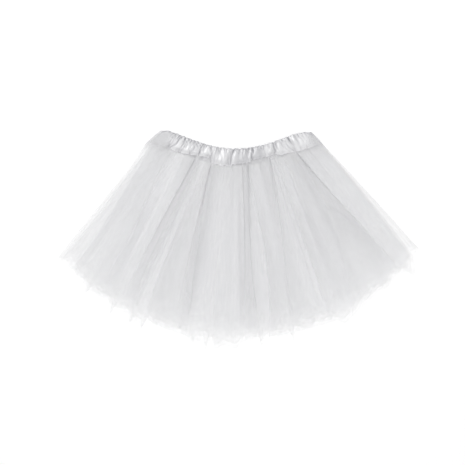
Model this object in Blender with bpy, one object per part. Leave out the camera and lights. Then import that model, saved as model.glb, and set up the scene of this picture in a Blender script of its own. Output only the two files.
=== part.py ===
"""Child's ballet tutu, laid flat on its back with the waist towards +Y and the hem towards -Y.

Three gathered tulle skirts, one inside another, are sewn to a satin waistband ruched over
elastic. Each piece is one closed wall: a tube pressed flat, so that its front lies over its back.
Metres, +Z up. The origin is under the middle of the whole garment.
"""

import bpy
import numpy as np

MM = 0.001

# The garment is a fan. Its gathers point to one centre, beyond the waist, and every place on it
# is a distance from that centre and an angle in degrees from straight down, positive to +X.
WAIST_RADIUS = 138 * MM  # centre of the fan to the middle of the waistband's top edge
WAIST_SWEEP = 14 * MM  # how much further out the ends of that edge are
BAND_HEIGHT = 25 * MM
BAND_WALL = 3 * MM
BAND_THICKNESS = 9 * MM  # front and back together, pressed flat
BAND_ANGLE = 44.0
BAND_PUCKERS = 26
PUCKER_DEPTH = 1.2 * MM
BAND_EDGE_DROP = 0.7 * MM  # rounding of the band's long edges
SEAM_GAP = 0.3 * MM

TULLE_WALL = 1.2 * MM
HEM_RADIUS = 430 * MM  # centre of the fan to the longest skirt's hem, in the middle
HEM_RISE = 35 * MM  # how much shorter that reach is at the sides
HEM_RISE_POWER = 2.2
HEM_RAGGED = 6 * MM  # how far a fold's crest hangs below the cloth beside it
HEM_FOLD = 0.6 * MM  # space between the innermost front and the innermost back
SIDE_FLATTEN = 0.45  # share of its puff that the skirt loses towards the sides
SIDE_TURN = 3.5  # degrees in which the cloth turns from front to back
SQUASH_FROM = 33.0  # degrees past which a shorter skirt's folds are drawn in

# name, angle of the side fold at the waist and at the hem, and how much shorter than the longest
SKIRTS = (
    ("tulle_outer", 44.0, 42.2, 0 * MM),
    ("tulle_middle", 43.1, 40.3, 9 * MM),
    ("tulle_inner", 42.2, 38.6, 18 * MM),
)

# share of the way from waist to hem, spacing of the skirts, height of the front's folds, and
# height of the back's folds
SECTIONS = (
    (0.00, 1.5 * MM, 0.5 * MM, 0.0 * MM),
    (0.10, 2.6 * MM, 3.0 * MM, 1.0 * MM),
    (0.28, 4.0 * MM, 5.5 * MM, 2.4 * MM),
    (0.52, 4.8 * MM, 7.5 * MM, 3.4 * MM),
    (0.78, 5.0 * MM, 9.0 * MM, 4.0 * MM),
    (1.00, 4.6 * MM, 10.0 * MM, 4.0 * MM),
)

# the front's crests and valleys: angle at the waist, angle at the hem, share of the fold height
FRONT_FOLDS = (
    (-38.3, -36.4, 0.6),
    (-36.0, -34.0, 1.0),
    (-31.0, -30.0, 0.3),
    (-25.0, -26.0, 1.0),
    (-19.0, -22.0, 0.0),
    (-14.0, -18.0, 1.0),
    (-11.5, -12.5, 0.1),
    (-8.0, -8.5, 0.7),
    (-4.5, -5.0, 0.3),
    (0.0, -1.0, 0.8),
    (5.0, 2.5, 0.0),
    (8.0, 5.5, 0.9),
    (12.0, 8.5, 0.3),
    (16.0, 12.0, 0.9),
    (18.5, 15.0, 0.2),
    (21.0, 19.0, 1.0),
    (25.0, 23.0, 0.4),
    (29.0, 27.0, 0.8),
    (32.5, 31.0, 0.0),
    (35.5, 35.5, 1.0),
    (38.2, 37.2, 0.6),
)
EDGE_FOLD_SHARE = 0.4  # share of the fold height where the front starts to turn under

# the back's folds stand between strips that lie flat: angle at the waist, at the hem, share of
# the fold height, where no height keeps the middle flat
BACK_FOLDS = (
    (-36.0, -34.5, 0.8),
    (-31.0, -29.5, 0.5),
    (-25.5, -25.0, 1.0),
    (-20.0, -19.5, 0.6),
    (-14.5, -13.5, 0.9),
    (-9.0, -8.5, 0.6),
    (-3.2, -3.0, 0.0),
    (2.4, 2.2, 0.0),
    (8.0, 7.5, 0.9),
    (13.0, 13.5, 0.6),
    (18.5, 18.0, 1.0),
    (24.5, 24.5, 0.7),
    (30.0, 29.5, 0.9),
    (36.0, 34.5, 0.6),
)
BACK_FOLD_HALF = 1.5  # degrees from a back fold's crest to its foot

SATIN = ("satin", (0.80, 0.80, 0.81, 1.0), 0.35)
TULLE = ("tulle", (0.82, 0.82, 0.83, 1.0), 0.80)


def band_top(angle):
    """Distance of the waistband's top edge from the fan's centre: a circle whose ends sweep out."""
    return WAIST_RADIUS + WAIST_SWEEP * (np.abs(angle) / BAND_ANGLE) ** 4


def hem_reach(angle, shorter):
    """Distance of a skirt's hem from the fan's centre, less towards the sides."""
    rise = HEM_RISE * (np.abs(angle) / SKIRTS[0][2]) ** HEM_RISE_POWER
    return HEM_RADIUS - shorter - rise


def front_columns(down):
    """Angles and heights of the front's crests, valleys and the places halfway between."""
    table = np.array(FRONT_FOLDS)
    angles = table[:, 0] + (table[:, 1] - table[:, 0]) * down
    return with_halfway(angles), with_halfway(table[:, 2])


def with_halfway(values):
    """A list with the average of each neighbouring pair put between them."""
    result = np.empty(2 * len(values) - 1)
    result[0::2] = values
    result[1::2] = (values[:-1] + values[1:]) / 2
    return result


def back_columns(down):
    """Angles and heights of the back's folds: foot, crest and foot of each."""
    table = np.array(BACK_FOLDS)
    crest = table[:, 0] + (table[:, 1] - table[:, 0]) * down
    angles = np.stack([crest - BACK_FOLD_HALF, crest, crest + BACK_FOLD_HALF], axis=1)
    heights = np.stack([crest * 0, table[:, 2], crest * 0], axis=1)
    return angles.ravel(), heights.ravel()


def squashed(angles, turn_from, outer_turn_from):
    """Folds past SQUASH_FROM drawn in, so that they end where this skirt's side turn begins."""
    past = np.clip(np.abs(angles) - SQUASH_FROM, 0, None)
    room = (turn_from - SQUASH_FROM) / (outer_turn_from - SQUASH_FROM)
    return np.sign(angles) * (np.abs(angles) - past + past * room)


def turn(angle, turn_from, turn_width):
    """Quarter ellipse by which the cloth comes down to its side fold: 1 inside it, 0 at the fold."""
    share = np.clip((np.abs(angle) - turn_from) / turn_width, 0, 1)
    return np.sqrt(1 - share**2)


def pressed_loop(front, back, side_angle, turn_from, inset_angle, front_top, back_top, side_z):
    """One closed line around a pressed tube, as angles, heights and a share of fold.

    front and back are angles and fold shares; front_top and back_top give a height for an angle
    and its fold share. The side folds are quarter ellipses around side_z.
    """
    width = side_angle - inset_angle - turn_from
    steps = turn_from + width * np.array([0.0, 0.5, 0.87])
    front_angles = np.concatenate([-steps[::-1], front[0], steps])
    front_folds = np.concatenate([[EDGE_FOLD_SHARE] * 3, front[1], [EDGE_FOLD_SHARE] * 3])
    back_angles = np.concatenate([-steps[::-1], back[0], steps])[::-1]
    back_folds = np.concatenate([[0.0] * 3, back[1], [0.0] * 3])[::-1]
    tip = np.array([side_angle - inset_angle])
    angles = np.concatenate([-tip, front_angles, tip, back_angles])
    folds = np.concatenate([[0.0], front_folds, [0.0], back_folds])
    heights = np.concatenate(
        [
            [side_z],
            side_z + (front_top(front_angles, front_folds) - side_z) * turn(front_angles, turn_from, width),
            [side_z],
            side_z + (back_top(back_angles, back_folds) - side_z) * turn(back_angles, turn_from, width),
        ]
    )
    shares = folds * turn(angles, turn_from, width)
    return angles, heights, shares


def placed(angles, radii, heights):
    """Points of the fan as an array of X, Y, Z, with the fan's centre over the origin."""
    turned = np.radians(angles)
    return np.stack([radii * np.sin(turned), -radii * np.cos(turned), heights], axis=-1)


def skirt_loops(skirt):
    """Outer and inner lines around a skirt, one pair for each section from waist to hem."""
    _, waist_side, hem_side, shorter = skirt
    index = SKIRTS.index(skirt)
    outer_rows, inner_rows = [], []
    for down, spacing, front_rise, back_rise in SECTIONS:
        side = waist_side + (hem_side - waist_side) * down
        outermost = SKIRTS[0][1] + (SKIRTS[0][2] - SKIRTS[0][1]) * down
        turn_from = side - SIDE_TURN
        outer_turn_from = outermost - SIDE_TURN

        def puff(angle):
            return 1 - SIDE_FLATTEN * (np.abs(angle) / outermost) ** 3

        def gap(angle):
            tight = TULLE_WALL + SEAM_GAP
            return tight + (spacing - tight) * puff(angle)

        def back_low(angle, fold):
            return index * gap(angle) + back_rise * puff(angle) * fold

        def front_low(angle, fold):
            above_backs = 2 * gap(angle) + TULLE_WALL + back_rise * puff(angle) + HEM_FOLD
            return above_backs + (2 - index) * gap(angle) + front_rise * puff(angle) * fold

        side_z = 2 * gap(side) + TULLE_WALL + (back_rise * puff(side) + HEM_FOLD) / 2
        front_angles, front_shares = front_columns(down)
        back_angles, back_shares = back_columns(down)
        front = squashed(front_angles, turn_from, outer_turn_from), front_shares
        back = squashed(back_angles, turn_from, outer_turn_from), back_shares
        for rows, wall, low in ((outer_rows, TULLE_WALL, 0.0), (inner_rows, 0.0, TULLE_WALL)):
            radius = band_top(side) + BAND_HEIGHT + (hem_reach(side, shorter) - band_top(side)) * down
            inset = np.degrees(low / radius)
            angles, heights, shares = pressed_loop(
                front,
                back,
                side,
                turn_from,
                inset,
                lambda angle, fold, wall=wall: front_low(angle, fold) + wall,
                lambda angle, fold, low=low: back_low(angle, fold) + low,
                side_z,
            )
            start = band_top(angles) + BAND_HEIGHT + SEAM_GAP
            ragged = HEM_RAGGED * shares * down
            radii = start + (hem_reach(angles, shorter) + ragged - start) * down
            rows.append(placed(angles, radii, heights))
    return np.array(outer_rows), np.array(inner_rows)


def band_loops():
    """Outer and inner lines around the waistband, from its top edge to its lower edge."""
    turn_from = BAND_ANGLE - SIDE_TURN
    angles = np.linspace(-turn_from, turn_from, 2 * BAND_PUCKERS + 3)[1:-1]
    puckers = np.arange(len(angles)) % 2 * 1.0
    side_z = BAND_THICKNESS / 2
    inset = np.degrees(BAND_WALL / (WAIST_RADIUS + BAND_HEIGHT))
    outer_rows, inner_rows = [], []
    for across, drop in ((0.0, BAND_EDGE_DROP), (0.25, 0.0), (0.75, 0.0), (1.0, BAND_EDGE_DROP)):
        for rows, wall, inward in ((outer_rows, 0.0, 0.0), (inner_rows, BAND_WALL, inset)):
            edge = drop if not wall else 0.0
            line, heights, _ = pressed_loop(
                (angles, puckers),
                (angles, puckers),
                BAND_ANGLE,
                turn_from,
                inward,
                lambda angle, fold: BAND_THICKNESS - wall - edge - (PUCKER_DEPTH * (1 - fold) if not wall else 0),
                lambda angle, fold: 0.0 * angle + wall,
                side_z,
            )
            rows.append(placed(line, band_top(line) + BAND_HEIGHT * across, heights))
    return np.array(outer_rows), np.array(inner_rows)


def wall_faces(rows, columns):
    """Triangles of a tube's wall: its outside, its inside, and the rims that join them.

    Point numbers run along each line, then from line to line, the outer lines first.
    """
    line = np.arange(columns)
    after = (line + 1) % columns
    inside = rows * columns
    faces = []
    for row in range(rows - 1):
        a, b = row * columns + line, row * columns + after
        c, d = b + columns, a + columns
        faces += [np.stack([a, c, b], 1), np.stack([a, d, c], 1)]
        faces += [np.stack([a, b, c], 1) + inside, np.stack([a, c, d], 1) + inside]
    top = line, after
    low = (rows - 1) * columns + line, (rows - 1) * columns + after
    faces += [np.stack([top[0], top[1], top[1] + inside], 1)]
    faces += [np.stack([top[0], top[1] + inside, top[0] + inside], 1)]
    faces += [np.stack([low[0], low[1] + inside, low[1]], 1)]
    faces += [np.stack([low[0], low[0] + inside, low[1] + inside], 1)]
    return np.concatenate(faces)


def add_material(name, colour, roughness):
    """A plain cloth finish."""
    material = bpy.data.materials.new(name)
    material.use_nodes = True
    shader = material.node_tree.nodes["Principled BSDF"]
    shader.inputs["Base Color"].default_value = colour
    shader.inputs["Roughness"].default_value = roughness
    shader.inputs["Metallic"].default_value = 0.0
    return material


def add_piece(name, outer, inner, shift, material):
    """One sub-part from its outer and inner lines, moved so that the garment is centred."""
    rows, columns = outer.shape[:2]
    points = np.concatenate([outer.reshape(-1, 3), inner.reshape(-1, 3)]) - shift
    mesh = bpy.data.meshes.new(name)
    mesh.from_pydata(points.tolist(), [], wall_faces(rows, columns).tolist())
    mesh.materials.append(material)
    piece = bpy.data.objects.new(name, mesh)
    bpy.context.scene.collection.objects.link(piece)


def main():
    for old in list(bpy.data.objects):
        bpy.data.objects.remove(old, do_unlink=True)
    satin = add_material(*SATIN)
    tulle = add_material(*TULLE)
    pieces = [("waistband", band_loops(), satin)]
    pieces += [(skirt[0], skirt_loops(skirt), tulle) for skirt in SKIRTS]
    lines = np.concatenate([loops[0].reshape(-1, 3) for _, loops, _ in pieces])
    shift = (lines.min(axis=0) + lines.max(axis=0)) / 2
    shift[2] = lines[:, 2].min()
    for name, (outer, inner), material in pieces:
        add_piece(name, outer, inner, shift, material)


main()
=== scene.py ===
"""Child's ballet tutu, laid flat: three white tulle skirts gathered into a ruched satin waistband."""

from collections import namedtuple

import bpy
import numpy as np
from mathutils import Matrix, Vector


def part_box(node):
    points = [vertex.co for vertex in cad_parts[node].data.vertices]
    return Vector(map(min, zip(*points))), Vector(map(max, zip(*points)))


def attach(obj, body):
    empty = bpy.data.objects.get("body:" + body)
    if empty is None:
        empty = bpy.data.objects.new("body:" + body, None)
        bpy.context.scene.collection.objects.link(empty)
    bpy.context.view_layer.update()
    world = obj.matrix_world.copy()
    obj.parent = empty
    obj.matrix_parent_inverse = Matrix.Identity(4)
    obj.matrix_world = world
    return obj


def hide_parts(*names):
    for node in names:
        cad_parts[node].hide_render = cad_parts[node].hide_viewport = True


MM = 0.001

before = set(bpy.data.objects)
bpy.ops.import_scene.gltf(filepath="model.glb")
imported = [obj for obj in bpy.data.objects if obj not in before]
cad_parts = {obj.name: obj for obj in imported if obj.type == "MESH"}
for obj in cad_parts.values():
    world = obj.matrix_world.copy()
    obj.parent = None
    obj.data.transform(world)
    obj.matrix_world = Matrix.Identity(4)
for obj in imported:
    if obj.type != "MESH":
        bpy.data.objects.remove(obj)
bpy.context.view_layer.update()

# ---------------------------------------------------------------- sizes of the fan
# Every gather points to one centre beyond the waist. A place is its distance from that centre and
# its angle in degrees from straight down, positive to +X. Lengths in this part are in millimetres.
WAIST_RADIUS = 138.0  # of the waistband's top edge in the middle
WAIST_SWEEP = 14.0  # how much further out that edge is at the ends
RIGHT_END_LOWER = 3.0  # and again at the right end, from RIGHT_END_FROM on
RIGHT_END_FROM = 35.0
END_ROUNDS = 3.5  # of the waistband's upper corners, between the two angles of CORNERS
CORNERS = (41.5, 44.5)
BAND_HEIGHT = 25.0
BAND_ANGLE = 44.0  # to the waistband's ends
HEM_RADIUS = 430.0
HEM_RISE = 35.0  # how much nearer the hem is at HEM_RISE_ANGLE
HEM_RISE_POWER = 2.2
HEM_RISE_ANGLE = 42.2

CLOTH_LENGTH = 275.0  # of the outer skirt's net, from waist to hem
SKIRT_COLUMNS = 1500
SKIRT_ROWS = 60
SIDE_FLATTEN = 0.45  # share by which the stack is lower at the sides
TURN_SHARE = 0.06  # share of the half width in which the cloth turns from front to back
LEAST_HEIGHT = 0.3  # of any net over the floor
TUCK = 3.0  # how far the net goes up under the waistband's lower edge
COVER_LEFT = (34.5, 6.5)  # where the outer net starts to cover the band's end, and over how far
COVER_RIGHT = (35.5, 8.5)
OVER_BAND_HEIGHT = 11.2  # of the outer net where it lies over the waistband's ends
STEEP_COUNTS = 0.3  # how much of a steep stretch's closer threads the eye sees
REACH_START = 125.0  # a crease's reach grows from here
REACH_RADIUS = 300.0  # and is measured here
CREASES_FLATTEN = 0.75  # share of a crease's step that is lost towards the hem
FLATTEN_DOWN = (0.80, 0.97)  # shares of the way down between which that happens
CRESTS_END = (0.75, 0.95)  # and between which the narrow crests run out
EDGE_STANDS = 0.12  # how much a fold edge stands up, as a share of its step
EDGE_WIDE = 4.5  # how far it takes to come down again
SIDE_SHORTER = 0.9  # share of an inner skirt's shorter length that is gone at the sides
HEM_THINS = 0.5  # share of the net that ends just before the hem
OUTER_THINS = 0.6  # the outer net's part of that share
THINS_FROM = 0.90  # share of the way down where the net starts to thin
OUTER_THINS_FROM = 0.96
HEM_FRAY = 0.8  # height of the hem's smallest teeth
FRAY_APART = 0.8  # degrees
BACK_SHORTER = 6.0  # of the outer net's back
CREST_RISES = 0.3  # share of a narrow crest's height in the surface; all of it thins the net there, a painted highlight along the crest
LAP_LEAN = 0.65  # sideways lean of a crease for each millimetre that it rises
OWN_LEAN = 0.8  # the same for the smaller creases of each skirt's own
LEFT_PUFF = 1.5  # degrees that the outer net bulges out below the waistband's left end
LEFT_PUFF_DOWN = (0.12, 0.11)  # share of the way down of that bulge, and its half length
FINE_GATHER = 0.95  # degrees from one fine gather to the next
FINE_FRONT = (0.2, 0.15)  # height of the front's fine gathers, and how far down they fade
# raised partly for the area check
FINE_BACK = (0.9, 0.25)  # not seen in the photo, and raised partly to give the modelled cloth more area
OVER_BAND_GATHER = 5.0  # plies that the net gains over the waistband's ends
VALLEY_GATHER_AND_SHADE = 0.70  # share by which a valley is more gathered, for each millimetre of depth: partly real gathering, partly painted shade
PLIES_AT_HEM = 0.97  # how gathered a net is there
PLIES_MORE = 0.36  # and how much more at the waist
PLIES_RANGE = (0.5, 7.0)

band_low, band_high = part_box("waistband")
FAN_X = (band_low[0] + band_high[0]) / 2
FAN_Y = band_low[1] + (WAIST_RADIUS + BAND_HEIGHT) * MM

# angle, then the waistband's height there
FRONT_BAND_DEPTHS = (
    (-44.0, 25.0),
    (-36.0, 26.0),
    (-31.0, 25.5),
    (-17.0, 18.5),
    (-13.8, 18.5),
    (-12.8, 25.5),
    (-7.0, 26.5),
    (-2.6, 26.0),
    (-1.6, 23.5),
    (7.4, 21.5),
    (9.2, 18.5),
    (15.0, 18.5),
    (22.0, 18.5),
    (24.0, 22.5),
    (28.0, 23.5),
    (33.0, 27.0),
    (38.0, 28.0),
    (44.0, 25.0),
)

# share of the way from waist to hem, then the height that each sheet lies at, from the bottom up
STACK = np.array(
    [
        # down, back outer, back middle, back inner, front inner, front middle, front outer
        (0.00, 0.6, 1.5, 2.4, 5.0, 5.8, 6.6),
        (0.03, 1.6, 2.8, 4.0, 6.6, 7.8, 9.0),
        (0.12, 2.2, 4.6, 7.0, 11.6, 14.4, 17.2),
        (0.28, 2.4, 5.6, 8.8, 16.4, 19.8, 23.2),
        (0.52, 2.2, 5.8, 9.4, 19.6, 23.2, 26.8),
        (0.78, 2.2, 5.8, 9.4, 20.0, 23.6, 27.2),
        (1.00, 2.0, 5.4, 8.8, 18.4, 21.8, 25.2),
    ]
)


# ---------------------------------------------------------------- small tools
def wander(x, seed, terms=5):
    """Smooth seeded noise of about unit size: a sum of sines whose waves are 1 to 3 units long."""
    draw = np.random.default_rng(seed)
    waves = draw.uniform(2.0, 6.3, terms)
    starts = draw.uniform(0, 2 * np.pi, terms)
    total = sum(np.sin(w * x + s) for w, s in zip(waves, starts))
    return total * np.sqrt(2 / terms) / 1.4


def fade(x, low, high):
    """0 below low, 1 above high, and a smooth step between."""
    t = np.clip((x - low) / (high - low), 0, 1)
    return t * t * (3 - 2 * t)


def placed(angle, radius, height):
    """Points of the fan, in metres in the garment's frame, from millimetres and degrees."""
    turned = np.radians(angle)
    x = FAN_X + radius * MM * np.sin(turned)
    y = FAN_Y - radius * MM * np.cos(turned)
    return np.stack([x, y, np.broadcast_to(height * MM, x.shape)], axis=-1)


def band_top(angle):
    """Distance of the waistband's top edge from the fan's centre: a circle with swept ends, the
    right one a little lower."""
    swept = WAIST_RADIUS + WAIST_SWEEP * (np.abs(angle) / BAND_ANGLE) ** 4
    lower = RIGHT_END_LOWER * fade(angle, RIGHT_END_FROM, BAND_ANGLE)
    return swept + lower + END_ROUNDS * fade(np.abs(angle), *CORNERS)


def band_depth(angle, front):
    """Height of the waistband from its top edge to its lower edge. Its gathers pull it uneven."""
    known = np.array(FRONT_BAND_DEPTHS)
    shown = np.interp(angle, known[:, 0], known[:, 1])
    return shown if front else np.full_like(angle, BAND_HEIGHT)


def hem_reach(angle, shorter):
    """Distance of a hem from the fan's centre: a circle that is drawn up towards the sides."""
    return HEM_RADIUS - shorter - HEM_RISE * (np.abs(angle) / HEM_RISE_ANGLE) ** HEM_RISE_POWER


def grid_faces(rows, columns, closed):
    """Quads of a grid whose points run along each row, with each row joined end to end if closed."""
    along = np.arange(columns if closed else columns - 1)
    row = np.arange(rows - 1)[:, None] * columns
    here, after = row + along, row + (along + 1) % columns
    return np.stack([here, here + columns, after + columns, after], axis=-1).reshape(-1, 4)


def add_mesh(name, points, faces, body, material, smooth=True):
    """A piece from arrays of points and quads, riding on the garment's one body."""
    mesh = bpy.data.meshes.new(name)
    mesh.vertices.add(len(points))
    mesh.vertices.foreach_set("co", points.astype(np.float32).ravel())
    mesh.loops.add(faces.size)
    mesh.loops.foreach_set("vertex_index", faces.astype(np.int32).ravel())
    mesh.polygons.add(len(faces))
    mesh.polygons.foreach_set("loop_start", np.arange(len(faces), dtype=np.int32) * faces.shape[1])
    mesh.update(calc_edges=True)
    mesh.validate()
    if smooth:
        mesh.shade_smooth()
    mesh.materials.append(material)
    piece = bpy.data.objects.new(name, mesh)
    bpy.context.scene.collection.objects.link(piece)
    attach(piece, body)
    return piece


def add_map(piece, faces, across, down):
    """A UV map in metres of cloth, from a value of each point."""
    layer = piece.data.uv_layers.new(name="cloth")
    pairs = np.stack([across, down], axis=-1)[faces.ravel()]
    layer.data.foreach_set("uv", pairs.astype(np.float32).ravel())


def add_attribute(piece, name, values):
    """A number for each point that a material can read."""
    attribute = piece.data.attributes.new(name, "FLOAT", "POINT")
    attribute.data.foreach_set("value", values.astype(np.float32).ravel())


# ---------------------------------------------------------------- the tulle
# The main creases. At each one, one panel of net lies on the next, and its fold edge shows as a
# line. A crease has its angle at the waist, the angle that its middle bends towards and its angle
# at the hem; the step down from the panel on top to the one below at the waist, half way and at the
# hem (more than 0 where the left panel is on top); how soft the edge is; and how far the lower
# panel stays in the valley.
FRONT_CREASES = (
    # waist belly   hem | step, waist half hem | soft reach
    (-34.5, -30.8, -26.0, -1.1, -1.1, 0.0, 1.2, 19.0),
    (-21.2, -25.6, -24.6, 5.8, 3.0, 0.2, 0.5, 13.0),
    (-19.6, -24.2, -22.2, -1.8, -1.6, 0.0, 1.8, 10.0),
    (-15.6, -19.9, -19.0, 1.2, 2.6, 1.4, 0.6, 13.0),
    (-12.7, -13.6, -12.4, 5.4, 1.7, 0.2, 0.4, 12.0),
    (-12.8, -11.2, -10.0, 0.0, -3.0, -0.8, 0.4, 9.0),
    (-2.6, -6.6, -4.6, -0.8, 0.5, 1.4, 0.4, 5.0),
    (3.5, 2.4, 1.9, 2.8, 2.6, 0.8, 0.35, 9.0),
    (6.2, 2.7, 5.2, -5.0, -2.9, -0.7, 0.35, 9.0),
    (5.2, 11.0, 6.6, 0.6, 2.6, 1.6, 0.6, 8.0),
    (18.2, 12.2, 11.3, -5.0, -0.9, -0.2, 0.35, 9.0),
    (19.6, 12.4, 12.3, 0.2, 1.8, 0.4, 0.35, 10.0),
    (20.8, 19.8, 19.8, 1.8, 2.4, 0.0, 0.6, 8.0),
    (25.2, 22.2, 21.4, 1.0, 0.2, 0.0, 0.7, 8.0),
    (32.0, 31.1, 23.8, 0.0, 0.5, 0.8, 0.7, 14.0),
    (31.4, 36.6, 37.4, -4.8, -2.8, -0.3, 0.4, 28.0),
)

# Narrow crests between the creases: angle at the waist, the one that the middle bends towards and
# the one at the hem, then height and half width.
FRONT_CRESTS = (
    (-29.6, -29.4, -29.0, 1.5, 7.0),
    (-16.4, -21.2, -21.2, 3.0, 4.6),
    (18.6, 12.4, 11.8, 0.6, 1.5),
    (19.4, 19.3, 19.0, 1.2, 3.0),
)

# The outer hem: angle, then how far the net hangs past the smooth arc there. It was cut straight,
# but the gathers draw each stretch up by its own amount, and fold edges leave thin tips.
HEM_DROPS = (
    (-44.0, -4),
    (-41.0, 3),
    (-39.0, -8),
    (-33.2, -3),
    (-32.4, 10),
    (-31.8, -3),
    (-27.0, -7),
    (-26.1, 15),
    (-25.4, -9),
    (-22.6, -6),
    (-21.8, 10),
    (-21.1, -2),
    (-19.9, -1),
    (-19.2, 8),
    (-18.4, -12),
    (-11.0, -9),
    (-9.4, -6),
    (-8.7, 6),
    (-8.0, -5),
    (-6.6, -4),
    (-6.0, 8),
    (-5.3, -6),
    (-3.8, 4),
    (-2.4, -2),
    (-0.2, 3),
    (1.2, -6),
    (3.2, -15),
    (4.4, -12),
    (5.1, 2),
    (5.8, -12),
    (10.7, -11),
    (11.4, 2),
    (12.1, -11),
    (13.0, -10),
    (20.0, -6),
    (22.4, 5),
    (25.0, 1),
    (27.0, -6),
    (30.0, -9),
    (33.4, 0),
    (35.8, -10),
    (37.4, -2),
    (38.9, 17),
    (40.2, 9),
    (41.4, -1),
    (44.0, 0),
)

# name, its sheets in STACK (back, front), side fold's angles to the left and to the right (waist,
# belly, hem), how wide its net is all round, how much shorter than the outer, how full the gathers
# are, how much of each crease it follows, and the seed of its own creases
Skirt = namedtuple(
    "Skirt", "name back_sheet front_sheet left right width shorter fullness follow seed"
)
# The widths aren't the cut, which is guessed at 1600 mm all round. They were fitted so that the
# modelled cloth, which carries about half of that cut, passes the area check of at least 0.7.
SKIRTS = (
    Skirt("tulle_outer", 1, 6, (-44.8, -42.4, -41.4), (44.6, 43.9, 43.4), 1200.0, 0.0, 1.15, 1.0, 11),
    Skirt("tulle_middle", 2, 5, (-43.8, -40.4, -40.6), (44.2, 42.8, 41.4), 1140.0, 15.0, 0.95, 0.6, 23),
    Skirt("tulle_inner", 3, 4, (-43.4, -37.0, -37.6), (43.9, 42.3, 41.0), 1070.0, 24.0, 1.15, 0.4, 37),
)


def loose_creases(seed, count, least, most, lap_soft):
    """Creases of uneven place, side and length in the columns of FRONT_CREASES, evenly mixed
    from side to side. least and most are their steps."""
    draw = np.random.default_rng(seed)
    hem = -40.0 + 80.0 / count * (np.arange(count) + draw.uniform(0.1, 0.9, count))
    waist, belly = hem * 1.05, hem + draw.uniform(-0.7, 0.7, count)
    side = draw.choice([-1.0, 1.0], count)
    sizes = draw.uniform(least, most, (count, 3))
    steps = side[:, None] * sizes * draw.choice([0.0, 1.0, 1.0], (count, 3))
    soft = np.full(count, lap_soft)
    return np.column_stack([waist, belly, hem, steps, soft, draw.uniform(5, 16, count)])


def bend(waist, belly, hem, down):
    """Angle of a line at each row: a Bezier curve from waist to hem that bends towards belly."""
    return waist * (1 - down) ** 2 + 2 * belly * down * (1 - down) + hem * down**2


def flow(label, down, creases):
    """Angle of the cloth's own down lines. Each is labelled by its angle at the hem, and the lines
    between two creases share the space between them at every row."""
    known = np.concatenate([np.full((1, 3), -60.0), creases[:, 0:3], np.full((1, 3), 60.0)])
    waist = np.interp(label, known[:, 2], known[:, 0])
    belly = np.interp(label, known[:, 2], known[:, 1])
    return bend(waist, belly, label, down)


def rounded(x, table):
    """Values of a table of two columns at x, with a smooth step from each row to the next."""
    known = np.array(table)
    row = np.clip(np.searchsorted(known[:, 0], x) - 1, 0, len(known) - 2)
    t = fade(x, known[row, 0], known[row + 1, 0])
    return known[row, 1] * (1 - t) + known[row + 1, 1] * t


def ridge(x):
    """A row of rounded crests with narrow valleys, from -1 to 1, one for each unit of x."""
    return 2 * np.abs(np.sin(np.pi * x)) ** 0.7 - 1


def add_creases(creases, angle, down, radius):
    """Rise of the cloth at its creases, in millimetres, and the same rise with the side that it
    leans to: more than 0 towards +X.

    With d the distance from a crease, the panel below lies lower than the panel on top by
    step * (1 + tanh(d / soft)) / 2 * exp(-(d / reach)^1.5), and the fold edge itself stands up by
    EDGE_STANDS * step * (1 - tanh(d / soft)) / 2 * exp(-d / EDGE_WIDE).
    """
    rise, lean = np.zeros_like(angle), np.zeros_like(angle)
    wider = np.clip((radius - REACH_START) / (REACH_RADIUS - REACH_START), 0.15, 2.0)
    left = 1 - CREASES_FLATTEN * fade(down, *FLATTEN_DOWN)
    for waist, belly, hem, *steps, soft, reach in creases:
        step = np.interp(down, (0.0, 0.45, 1.0), steps) * left
        away = np.radians(angle - bend(waist, belly, hem, down)) * radius * np.sign(step)
        below = 0.5 + 0.5 * np.tanh(away / soft)
        valley = -np.abs(step) * below * np.exp(-((np.abs(away) / (reach * wider)) ** 1.5))
        edge = EDGE_STANDS * np.abs(step) * (1 - below) * np.exp(-np.abs(away) / EDGE_WIDE)
        rise += valley + edge
        lean += np.sign(step) * (valley + edge)
    return rise, lean


def add_crests(angle, down, radius):
    """Rise of the front at its narrow crests, height * exp(-(d / half width)^2), which run out
    before the hem."""
    rise = np.zeros_like(angle)
    for *line, height, half_width in FRONT_CRESTS:
        away = np.radians(angle - bend(*line, down)) * radius
        rise += height * np.exp(-((away / half_width) ** 2)) * (1 - fade(down, *CRESTS_END))
    return rise


def line_angle(skirt, label, down, creases):
    """Angle of a skirt's down lines. They flow round the creases, and the last few degrees follow
    the side fold's own line. Below the waistband's left end the outer net bulges out."""
    left_side = label < 0
    edge = np.where(left_side, bend(*skirt.left, down), bend(*skirt.right, down))
    if skirt.name == "tulle_outer":
        middle, half_length = LEFT_PUFF_DOWN
        edge = edge - LEFT_PUFF * left_side * np.exp(-(((down - middle) / half_length) ** 2))
    side_hem = np.where(left_side, skirt.left[2], skirt.right[2])
    moved = edge - flow(side_hem, down, creases)
    return flow(label, down, creases) + moved * fade(np.abs(label / side_hem), 0.6, 1.0)


def band_cover(skirt, label, angle):
    """1 where the outer net puffs up over the waistband's ends, as far as its top edge, else 0."""
    left = (-angle - COVER_LEFT[0]) / COVER_LEFT[1]
    right = (angle - COVER_RIGHT[0]) / COVER_RIGHT[1]
    return fade(np.where(label < 0, left, right), 0, 1) * (skirt.name == "tulle_outer")


def hem_line(skirt, front, label, angle, turn, seed):
    """Distance of a skirt's hem from the fan's centre: the arc, its drops and a fine fray."""
    shorter = skirt.shorter * (1 - SIDE_SHORTER * (angle / HEM_RISE_ANGLE) ** 2)
    hem = hem_reach(angle, shorter) + HEM_FRAY * wander(label / FRAY_APART, seed + 2)
    if skirt.name == "tulle_outer":
        return hem + rounded(label, HEM_DROPS) - (not front) * BACK_SHORTER * turn
    return hem + 4.0 * wander(label / 4.0, seed + 1) + 1.6 * wander(label / 1.6, seed + 5)


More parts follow.
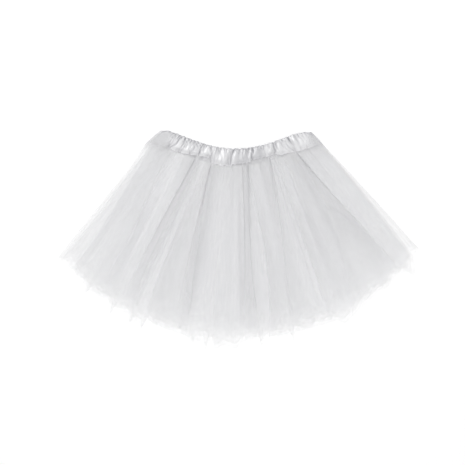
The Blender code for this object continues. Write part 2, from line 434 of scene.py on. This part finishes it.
def fine_gathers(front, angle, down, seed):
    """Height of the gathers that the waistband makes: a wandering sine that fades out downwards."""
    height, share = FINE_FRONT if front else FINE_BACK
    wave = np.sin(2 * np.pi * (angle / FINE_GATHER + 0.5 * wander(angle / 4, seed + 8)))
    return wave * height * np.exp(-down / share)


def broad_gathers(label, down):
    """Height of the middle-sized gathers near the waist, which run together into broad swells."""
    middle = ridge(label / 2.4 + 0.9 * wander(label / 6 + 0.5 * down, 6))
    middle = middle * 0.35 * (down / 0.15) * np.exp(1 - down / 0.15)
    return middle + 1.2 * wander(label / 9 + 0.4 * down, 8) * fade(down, 0.0, 0.6)


def stack_height(sheet, down):
    """Height at which one sheet of the stack lies, before its creases."""
    return np.interp(down, STACK[:, 0], STACK[:, sheet])


def half_sheet(skirt, front, label, down, turn):
    """Angle, radius and height of the front or the back of one skirt, and how much net its creases
    bunch there:
    1 on average, more in a valley and less on a crest, which is partly real and partly painted shade in
    the valley and painted highlight on the crest.

    label is a down line's angle at the hem and down its share of the way; turn is 1 on the face
    and falls to 0 at the side fold, where front and back meet at one height.
    """
    outer = skirt.name == "tulle_outer"
    seed = skirt.seed if front else skirt.seed + 100
    back_creases = loose_creases(7, count=12, least=0.6, most=2.4, lap_soft=0.8)
    shared = np.array(FRONT_CREASES) if front else back_creases
    angle = line_angle(skirt, label, down, shared)
    edge_of_band = band_top(angle) + band_depth(angle, front)
    cover = band_cover(skirt, label, angle)
    start = edge_of_band - TUCK - cover * (BAND_HEIGHT - TUCK + 1.0)
    hem = hem_line(skirt, front, label, angle, turn, seed)
    radius = start + (hem - start) * down

    rise, lean = add_creases(shared, angle, down, radius)
    crests = add_crests(angle, down, radius) * front
    small = loose_creases(seed, count=9, least=0.2, most=0.7, lap_soft=0.4)
    own, own_lean = add_creases(small, angle, down, radius)
    # painted shade and highlight, partly real: a valley gets more net and looks darker, a crest or a
    # standing fold edge less net and looks lighter
    gather_and_shade = np.exp(-VALLEY_GATHER_AND_SHADE * (rise + crests + 0.5 * own))
    thins = (OUTER_THINS if outer else 1.0) * HEM_THINS
    gather_and_shade = gather_and_shade * (1 - thins * fade(down, OUTER_THINS_FROM if outer else THINS_FROM, 1.0))

    out_of_band = fade(down, 0.0, 0.05)
    rise = (rise + CREST_RISES * crests) * skirt.follow + own
    rise = rise * out_of_band + broad_gathers(label, down)
    fine = fine_gathers(front, angle, down, seed) * out_of_band
    puff = 1 - SIDE_FLATTEN * (np.abs(angle) / BAND_ANGLE) ** 3 * fade(down, 0.0, 0.1)
    level = puff * stack_height(skirt.front_sheet if front else skirt.back_sheet, down)
    if front:
        over_band = 1 - fade(radius, edge_of_band + 1.0, edge_of_band + 14.0)
        over_band = over_band * fade(cover, 0.0, 0.25) * OVER_BAND_HEIGHT
        height = np.maximum(level + rise + fine, over_band)
    else:
        height = np.maximum(level + 0.5 * rise + fine, 0.35)
    # 3 and 4 are the two innermost sheets: every side fold lies halfway between them
    between = puff * (stack_height(3, down) + stack_height(4, down)) / 2
    height = between + (height - between) * turn
    shift = (LAP_LEAN * lean * skirt.follow + OWN_LEAN * own_lean) * out_of_band * turn

    # over the band the net thins out towards its own top edge
    on_band = 1 - fade(radius, edge_of_band - 10.0, edge_of_band + 2.0)
    on_band = on_band * (1 - fade(radius, start + 2.0, start + 12.0) * cover)
    extra = 1 - fade(radius, edge_of_band - 8.0, edge_of_band + 12.0)
    gather_and_shade = (gather_and_shade + OVER_BAND_GATHER * cover**2 * extra) * (1 - 0.9 * on_band)
    return angle + np.degrees(shift / radius), radius, np.maximum(height, LEAST_HEIGHT), gather_and_shade


def skirt_line(skirt, place):
    """Label and turn of a place around a skirt: 0 to 1 is the front from left to right, 1 to 2 the
    back from right to left, and near whole numbers the cloth turns through a quarter ellipse."""
    front = place < 1
    across = np.where(front, 2 * place - 1, 3 - 2 * place)
    past = np.clip((np.abs(across) - (1 - TURN_SHARE)) / TURN_SHARE, 0, 1)
    inner = np.minimum(np.abs(across), 1 - TURN_SHARE)
    share = inner + TURN_SHARE * np.sin(past * np.pi / 2)
    label = np.sign(across) * share * np.where(across < 0, -skirt.left[2], skirt.right[2])
    return front, label, np.cos(past * np.pi / 2)


def skirt_points(skirt, place, down):
    """Points of a whole skirt on a grid of places around it and shares of the way down, and how
    gathered each is."""
    front, label, turn = skirt_line(skirt, place)
    rows, columns = len(down), len(place)
    points, gather_and_shade = np.empty((rows, columns, 3)), np.empty((rows, columns))
    for is_front in (True, False):
        chosen = front == is_front
        lines = np.broadcast_to(label[chosen], (rows, chosen.sum()))
        turns = np.broadcast_to(turn[chosen], lines.shape)
        rows_down = np.broadcast_to(down[:, None], lines.shape)
        angle, radius, height, share = half_sheet(skirt, is_front, lines, rows_down, turns)
        points[:, chosen], gather_and_shade[:, chosen] = placed(angle, radius, height), share
    return points, gather_and_shade


def plies(skirt, points, gather_and_shade, down, front):
    """How many plies of net a place has. Gathers finer than the surface shows add some near the waist
    and in faint lines down the cloth. The extra plies in the valleys beside a crease, and the fewer on
    its crests, are partly real gathering and partly painted shade and painted highlight."""
    across = np.arange(points.shape[1]) / points.shape[1]
    lines = 0.01 * wander(across * 70, skirt.seed + 4)
    broad = 0.10 * wander(across * 24 + 1.5 * down[:, None], skirt.seed + 6)
    gathered = PLIES_AT_HEM + PLIES_MORE * (1 - down[:, None])
    # a net that stands steep hides more of what is below it
    step = (np.roll(points, -1, axis=1) - np.roll(points, 1, axis=1)) / 2
    steep = np.linalg.norm(step, axis=2) / np.maximum(np.linalg.norm(step[..., :2], axis=2), 1e-6)
    full = skirt.fullness * (gathered + lines + broad) * gather_and_shade
    return np.clip(full * (1 + STEEP_COUNTS * front * (np.clip(steep, 1.0, 3.0) - 1)), *PLIES_RANGE)


def add_skirt(skirt, material):
    """One skirt: a net tube pressed flat. Its down lines are spaced along the cloth, and closer at
    the creases."""
    width, length = skirt.width * MM, (CLOTH_LENGTH - skirt.shorter) * MM
    fine = np.linspace(0, 2, 12000, endpoint=False)
    trial, _ = skirt_points(skirt, fine, np.array([0.45, 0.65, 0.85]))
    steps = np.linalg.norm(np.roll(trial, -1, axis=1) - trial, axis=2).mean(axis=0)
    along = np.concatenate([[0], np.cumsum(steps)]) / steps.sum()
    is_front, label, _ = skirt_line(skirt, fine)
    for crease in FRONT_CREASES:
        steps = steps * (1 + 1.5 * is_front * np.exp(-(((label - crease[2]) / 0.7) ** 2)))
    run = np.concatenate([[0], np.cumsum(steps)])
    spots = np.linspace(0, run[-1], SKIRT_COLUMNS, endpoint=False)
    place = np.interp(spots, run, np.append(fine, 2.0))
    down = np.linspace(0, 1, SKIRT_ROWS) ** 1.15
    points, gather_and_shade = skirt_points(skirt, place, down)

    faces = grid_faces(SKIRT_ROWS, SKIRT_COLUMNS, True)
    piece = add_mesh(skirt.name + "_net", points.reshape(-1, 3), faces, "root", material)
    across = np.broadcast_to(np.interp(place, np.append(fine, 2.0), along) * width, points.shape[:2])
    lengths = np.broadcast_to(down[:, None] * length, points.shape[:2])
    add_map(piece, faces, across.ravel(), lengths.ravel())
    add_attribute(piece, "plies", plies(skirt, points, gather_and_shade, down, place < 1))
    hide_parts(skirt.name)
    return piece


# ---------------------------------------------------------------- the waistband
BAND_COLUMNS = 2100
BAND_ROWS = 44
LIP_ROWS_CLOSER = 0.55
BAND_WALL_HALF = 1.9
BAND_FRONT_HEIGHT = 7.0
BAND_BACK_HEIGHT = 2.2
BAND_TURN = 0.03  # share of the half width in which the band turns from front to back
LIP_FROM = 0.72  # share of the band's height from which it thins to a lip
LIP_THINNER = 0.88
LIP_LIFT = 0.12
CALM_ENDS = (37.0, 41.0)  # angles between which the puckers die away


def band_loop(place):
    """Angle, height and outward direction of the casing's middle, around the waist.

    0 to 1 is the front from left to right, 1 to 2 the back, with a half turn at each side.
    """
    front = place < 1
    along = np.where(front, place, 2 - place)
    across = 2 * along - 1
    past = np.clip((np.abs(across) - (1 - BAND_TURN)) / BAND_TURN, 0, 1) * np.pi / 2
    radius = (BAND_FRONT_HEIGHT - BAND_BACK_HEIGHT) / 2
    room = np.degrees(radius / WAIST_RADIUS)
    straight = np.minimum(np.abs(across), 1 - BAND_TURN) / (1 - BAND_TURN)
    angle = np.sign(across) * (straight * (BAND_ANGLE - room) + room * np.sin(past))
    middle = (BAND_FRONT_HEIGHT + BAND_BACK_HEIGHT) / 2
    up = np.where(front, 1.0, -1.0)
    height = middle + up * radius * np.cos(past)
    return angle, height, np.sign(across) * np.sin(past), up * np.cos(past)


# Main puckers of the front: angle at the top edge and at the lower edge, depth and width.
FRONT_PUCKERS = (
    (-38.6, -36.4, 1.0, 0.6),
    (-35.6, -36.6, 1.8, 0.8),
    (-33.4, -35.4, 2.2, 0.8),
    (-31.2, -30.8, 2.2, 0.8),
    (-28.6, -29.8, 1.2, 0.5),
    (-26.8, -25.4, 1.6, 0.6),
    (-25.2, -24.6, 1.8, 0.6),
    (-23.6, -22.0, 1.4, 0.6),
    (-20.4, -20.6, 2.4, 0.8),
    (-18.4, -18.9, 1.0, 0.5),
    (-16.2, -15.9, 1.2, 0.6),
    (-14.9, -14.0, 2.2, 0.9),
    (-12.0, -11.4, 1.3, 0.7),
    (-10.6, -9.9, 1.2, 0.5),
    (-8.9, -8.5, 0.9, 0.4),
    (-6.4, -7.2, 1.0, 0.5),
    (-5.2, -4.4, 1.5, 0.8),
    (-1.8, -3.1, 1.9, 0.6),
    (1.6, 1.2, 0.3, 1.2),
    (4.6, 3.6, 0.4, 0.8),
    (7.2, 6.4, 1.0, 0.6),
    (10.4, 8.2, 2.3, 0.9),
    (13.8, 13.0, 0.4, 1.0),
    (16.9, 16.0, 0.8, 0.8),
    (19.7, 17.9, 1.8, 0.7),
    (21.4, 19.9, 1.2, 0.5),
    (23.3, 21.1, 1.8, 0.6),
    (24.6, 24.2, 1.0, 0.5),
    (26.4, 29.4, 1.5, 0.6),
    (29.0, 30.6, 1.6, 0.6),
    (31.8, 32.5, 2.6, 0.9),
    (35.9, 34.9, 0.8, 0.6),
    (38.2, 37.6, 1.0, 0.5),
    (39.4, 40.6, 1.4, 0.5),
)


def smooth_stretch(angle):
    """1 over the two stretches near the middle where the satin lies smooth, and 0 beside them."""
    first = fade(angle, -1.4, -0.4) * (1 - fade(angle, 4.4, 5.4))
    second = fade(angle, 8.4, 9.4) * (1 - fade(angle, 14.0, 15.6))
    return first + second


def puckers(angle, across, front):
    """Height of the ruched satin, in millimetres. Each main pucker is a valley with a sharp floor,
    -depth * exp(-distance / width), that slants from its top angle to its lower one. Smaller
    wrinkles fork between them, and the back has even gathers of its own."""
    slanted = np.zeros_like(angle + across)
    for top, low, depth, width in FRONT_PUCKERS:
        wave = 1.1 * wander(across * 1.6 + top, 51)
        away = np.abs(np.radians(angle - top - (low - top) * across) * WAIST_RADIUS + wave)
        uneven = 0.75 + 0.25 * np.cos(3.0 * across + top)
        slanted = slanted - depth * np.exp(-away / width) * uneven
    run = np.radians(angle) * WAIST_RADIUS
    gathers = 1.5 * (np.abs(np.sin(np.pi * (run / 6.5 + 0.8 * wander(run / 13, 52)))) ** 0.6 - 1)
    fork = run / 3.2 + 0.9 * wander(run / 6, 55) + 1.1 * wander(across * 2.4 + run / 11, 56)
    small = np.abs(np.sin(np.pi * fork)) ** 0.7 - 0.5
    patch = fade(wander(run / 12 + across * 1.5, 57), -0.4, 0.8)
    swell = 0.5 * wander(run / 9 + 0.8 * across, 59)
    small = small * (1 - 0.85 * front * smooth_stretch(angle))
    swell = swell * (1 - 0.5 * front * smooth_stretch(angle))
    calm = 1 - fade(np.abs(angle), *CALM_ENDS)
    return (np.where(front, slanted + swell, gathers) + 1.15 * patch * small) * calm


def band_shade(angle, across, relief, front):
    """How much painted shade darkens the satin, from 0 to 1: painted shade in the floors of the puckers
    and in small uneven tucks along the top edge, more of them on the left, a painted dimming over the
    flat stretch in the middle, and a greyer tone at the ends."""
    run = np.radians(angle) * WAIST_RADIUS
    uneven = wander(run / 1.6 + 3 * across, 60) + 0.8 * wander(run / 4.2 - 6 * across, 61)
    # painted shade: dark uneven marks along the top edge, where its tucks fall in shade
    tucks = (1 - fade(across, 0.08, 0.5)) * (0.4 + 0.5 * uneven)
    tucks = tucks * np.where(angle < -15.0, 1.0, 0.55)
    # painted shade: the flat stretch in the middle is greyed, as it catches fewer highlights
    flat = 0.28 * fade(angle, -2.5, -1.0) * (1 - fade(angle, 15.0, 18.0))
    flat = flat + 0.12 * smooth_stretch(angle)
    ends = 0.18 * np.where(angle < 0, fade(-angle, 36.0, 39.0), fade(angle, 38.5, 43.5))
    # painted shade in each pucker's floor, darker where the pucker is deeper
    return np.clip(-relief / 2.9 + (np.clip(tucks, 0, 1) + flat) * front + ends, 0, 1)


def add_band(material):
    """The satin casing: an oval carried round the flattened waist, with its puckers standing out.

    Across the band the section is a superellipse, flat on its faces, whose lower edge is a thin
    lip over the net.
    """
    place = np.linspace(0, 2, BAND_COLUMNS, endpoint=False)
    angle, height, side, up = band_loop(place)
    front = (place < 1)[None, :]
    spread = np.linspace(0, 2 * np.pi, BAND_ROWS, endpoint=False)[:, None]
    around = spread + LIP_ROWS_CLOSER * np.sin(spread)
    reach = -np.sign(np.cos(around)) * np.abs(np.cos(around)) ** 0.75
    bulge = np.sign(np.sin(around)) * np.abs(np.sin(around)) ** 0.55
    across = (1 + reach) / 2
    relief = puckers(angle[None, :], across, front)
    lip = fade(across, LIP_FROM, 1.0)
    out = bulge * BAND_WALL_HALF * (1 - LIP_THINNER * lip) + np.clip(bulge, 0, 1) * relief
    frill = 0.35 * relief + 0.6 * wander(place * 46, 58) * (1 - fade(np.abs(angle), *CALM_ENDS))
    depth = band_depth(angle, True) * front + BAND_HEIGHT * ~front
    radius = band_top(angle) + depth * across + np.sign(reach) * frill * np.abs(reach) ** 3
    lift = height + up * (out + lip * LIP_LIFT) + 1.2 * fade(np.abs(angle), 36.0, 42.0) * ~front
    turned = angle + np.degrees(side * out / radius)
    points = placed(turned, radius, np.maximum(lift, 0.25))
    faces = grid_faces(BAND_ROWS + 1, BAND_COLUMNS, True) % (BAND_ROWS * BAND_COLUMNS)
    piece = add_mesh("satin_casing", points.reshape(-1, 3), faces, "root", material)
    run = place * np.radians(BAND_ANGLE) * 2 * (WAIST_RADIUS + BAND_HEIGHT / 2)
    over = np.broadcast_to(run * MM, relief.shape)
    down = np.broadcast_to(around / (2 * np.pi) * 2.2 * BAND_HEIGHT * MM, relief.shape)
    add_map(piece, faces, over.ravel(), down.ravel())
    # the satin's painted shade, which its material turns into a darker base colour
    add_attribute(piece, "valley", band_shade(angle, across, relief, front))
    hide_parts("waistband")
    return piece


# ---------------------------------------------------------------- materials
def linear(code):
    """sRGB hex to linear RGB."""
    parts = np.array([int(code[i : i + 2], 16) for i in (1, 3, 5)]) / 255
    straight = np.where(parts <= 0.04045, parts / 12.92, ((parts + 0.055) / 1.055) ** 2.4)
    return (*straight.tolist(), 1.0)


def add_node(tree, kind, links=None, **settings):
    """One node with its settings, and its inputs joined to other nodes' outputs or given values."""
    node = tree.nodes.new(kind)
    for key, value in settings.items():
        setattr(node, key, value)
    for socket, source in (links or {}).items():
        if isinstance(source, bpy.types.NodeSocket):
            tree.links.new(source, node.inputs[socket])
        else:
            node.inputs[socket].default_value = source
    return node


def add_math(tree, operation, first, second):
    """The output of one math node."""
    return add_node(tree, "ShaderNodeMath", {0: first, 1: second}, operation=operation).outputs[0]


def new_material(name):
    """An empty node material with its output."""
    material = bpy.data.materials.new(name)
    material.use_nodes = True
    tree = material.node_tree
    tree.nodes.clear()
    return material, tree, add_node(tree, "ShaderNodeOutputMaterial")


NET_CELL = 1.4 * MM  # bobbinet holes, about 1.2 mm across, with their threads


def nylon_tulle():
    """Heat-set nylon bobbinet: matte white threads around hexagonal holes, so that one sheet is
    nearly clear and many together are a soft grey white."""
    material, tree, output = new_material("nylon_tulle_net")
    cloth = add_node(tree, "ShaderNodeUVMap", uv_map="cloth")
    holes = add_node(
        tree,
        "ShaderNodeTexVoronoi",
        {"Vector": cloth.outputs["UV"], "Scale": 1 / NET_CELL, "Randomness": 0.15},
        feature="DISTANCE_TO_EDGE",
    )
    thread = add_node(
        tree,
        "ShaderNodeMapRange",
        {
            "Value": holes.outputs["Distance"],
            "From Min": 0.05,
            "From Max": 0.16,
            "To Min": 0.27,
            "To Max": 0.065,
        },
        interpolation_type="SMOOTHSTEP",
    )
    # more sheets in a gather: what one sheet lets through, to the power of how many there are
    # the plies also carry the painted shade of the crease valleys and the painted highlight of the
    # crests
    bunch = add_node(tree, "ShaderNodeAttribute", attribute_name="plies")
    through = add_math(tree, "SUBTRACT", 1.0, thread.outputs["Result"])
    all_through = add_math(tree, "POWER", through, bunch.outputs["Fac"])
    cover = add_math(tree, "SUBTRACT", 1.0, all_through)
    tone = add_node(
        tree,
        "ShaderNodeTexNoise",
        {"Vector": cloth.outputs["UV"], "Scale": 18.0, "Detail": 3.0},
    )
    colour = add_node(
        tree,
        "ShaderNodeMix",
        {0: tone.outputs["Fac"], "A": linear("#E8E8EA"), "B": linear("#EEEEEF")},
        data_type="RGBA",
    )
    shader = add_node(
        tree,
        "ShaderNodeBsdfPrincipled",
        {
            "Base Color": colour.outputs["Result"],
            "Roughness": 0.75,
            "IOR": 1.53,
            "Specular IOR Level": 0.2,
            "Alpha": cover,
        },
    )
    tree.links.new(shader.outputs["BSDF"], output.inputs["Surface"])
    return material


def ruched_satin():
    """Polyester satin, warp-faced: long floats along the band give soft streaked highlights."""
    material, tree, output = new_material("polyester_satin_weave")
    cloth = add_node(tree, "ShaderNodeUVMap", uv_map="cloth")
    stretch = add_node(
        tree, "ShaderNodeMapping", {"Vector": cloth.outputs["UV"], "Scale": (350.0, 2600.0, 1.0)}
    )
    floats = add_node(
        tree,
        "ShaderNodeTexNoise",
        {"Vector": stretch.outputs["Vector"], "Scale": 1.0, "Detail": 2.0},
    )
    bump = add_node(
        tree,
        "ShaderNodeBump",
        {"Height": floats.outputs["Fac"], "Strength": 0.15, "Distance": 0.1 * MM},
    )
    # painted shade: the base colour darkens towards the second grey in pucker floors, in the tucks
    # along the top edge and over the flat middle
    valley = add_node(tree, "ShaderNodeAttribute", attribute_name="valley")
    # the second grey is the painted shade colour
    colour = add_node(
        tree,
        "ShaderNodeMix",
        {0: valley.outputs["Fac"], "A": linear("#E8E8EA"), "B": linear("#A6A6AB")},
        data_type="RGBA",
    )
    shader = add_node(
        tree,
        "ShaderNodeBsdfPrincipled",
        {
            "Base Color": colour.outputs["Result"],
            "Roughness": 0.30,
            "IOR": 1.54,
            "Specular IOR Level": 0.9,
            "Anisotropic": 0.5,
            "Normal": bump.outputs["Normal"],
        },
    )
    tree.links.new(shader.outputs["BSDF"], output.inputs["Surface"])
    return material


def studio_floor():
    """Seamless white paper, lit from below as well, so that it stays pale under the net."""
    material, tree, output = new_material("white_paper_sweep")
    shader = add_node(
        tree,
        "ShaderNodeBsdfPrincipled",
        {
            "Base Color": linear("#F4F4F4"),
            "Roughness": 0.9,
            "Emission Color": linear("#FFFFFF"),
            "Emission Strength": 0.21,
        },
    )
    tree.links.new(shader.outputs["BSDF"], output.inputs["Surface"])
    return material


# ---------------------------------------------------------------- floor, light and camera
def add_floor():
    """A plain sheet of paper under the garment."""
    half, gap = 3.0, 0.4 * MM
    corners = [(-half, -half, -gap), (half, -half, -gap), (half, half, -gap), (-half, half, -gap)]
    mesh = bpy.data.meshes.new("floor")
    mesh.from_pydata(corners, [], [(0, 1, 2, 3)])
    mesh.materials.append(studio_floor())
    floor = bpy.data.objects.new("floor", mesh)
    bpy.context.scene.collection.objects.link(floor)


def add_light(name, place, size, power, target=(0, 0, 0)):
    """A square softbox that faces the garment."""
    light = bpy.data.lights.new(name, "AREA")
    light.size = size
    light.energy = power
    lamp = bpy.data.objects.new(name, light)
    lamp.location = place
    lamp.rotation_euler = (Vector(target) - Vector(place)).to_track_quat("-Z", "Y").to_euler()
    bpy.context.scene.collection.objects.link(lamp)


def add_camera():
    """Straight above, a little left of the middle, and far enough away that the garment shows as if
    flat."""
    distance, wide = 2.2, 0.690
    left, below = 5.2 * MM, 262.0 * MM  # from the fan's centre
    data = bpy.data.cameras.new("camera")
    data.sensor_width = 36.0
    data.lens = 36.0 * distance / wide
    data.clip_end = 20
    camera = bpy.data.objects.new("camera", data)
    camera.location = (FAN_X - left, FAN_Y - below, distance)
    bpy.context.scene.collection.objects.link(camera)
    bpy.context.scene.camera = camera


def add_studio():
    """White surroundings with one softer key light from the upper left."""
    world = bpy.data.worlds.new("studio")
    world.use_nodes = True
    world.node_tree.nodes["Background"].inputs["Color"].default_value = (1, 1, 1, 1)
    world.node_tree.nodes["Background"].inputs["Strength"].default_value = 0.45
    bpy.context.scene.world = world
    add_light("key", (-0.5, 0.6, 1.9), 0.9, 17)
    add_light("fill", (0.9, -0.6, 1.9), 1.4, 8)
    scene = bpy.context.scene
    scene.view_settings.view_transform = "Standard"
    scene.cycles.transparent_max_bounces = 80
    scene.cycles.max_bounces = 12
    scene.cycles.diffuse_bounces = 8


add_floor()
add_camera()
add_studio()
tulle = nylon_tulle()
satin = ruched_satin()
for one_skirt in SKIRTS:
    add_skirt(one_skirt, tulle)
add_band(satin)
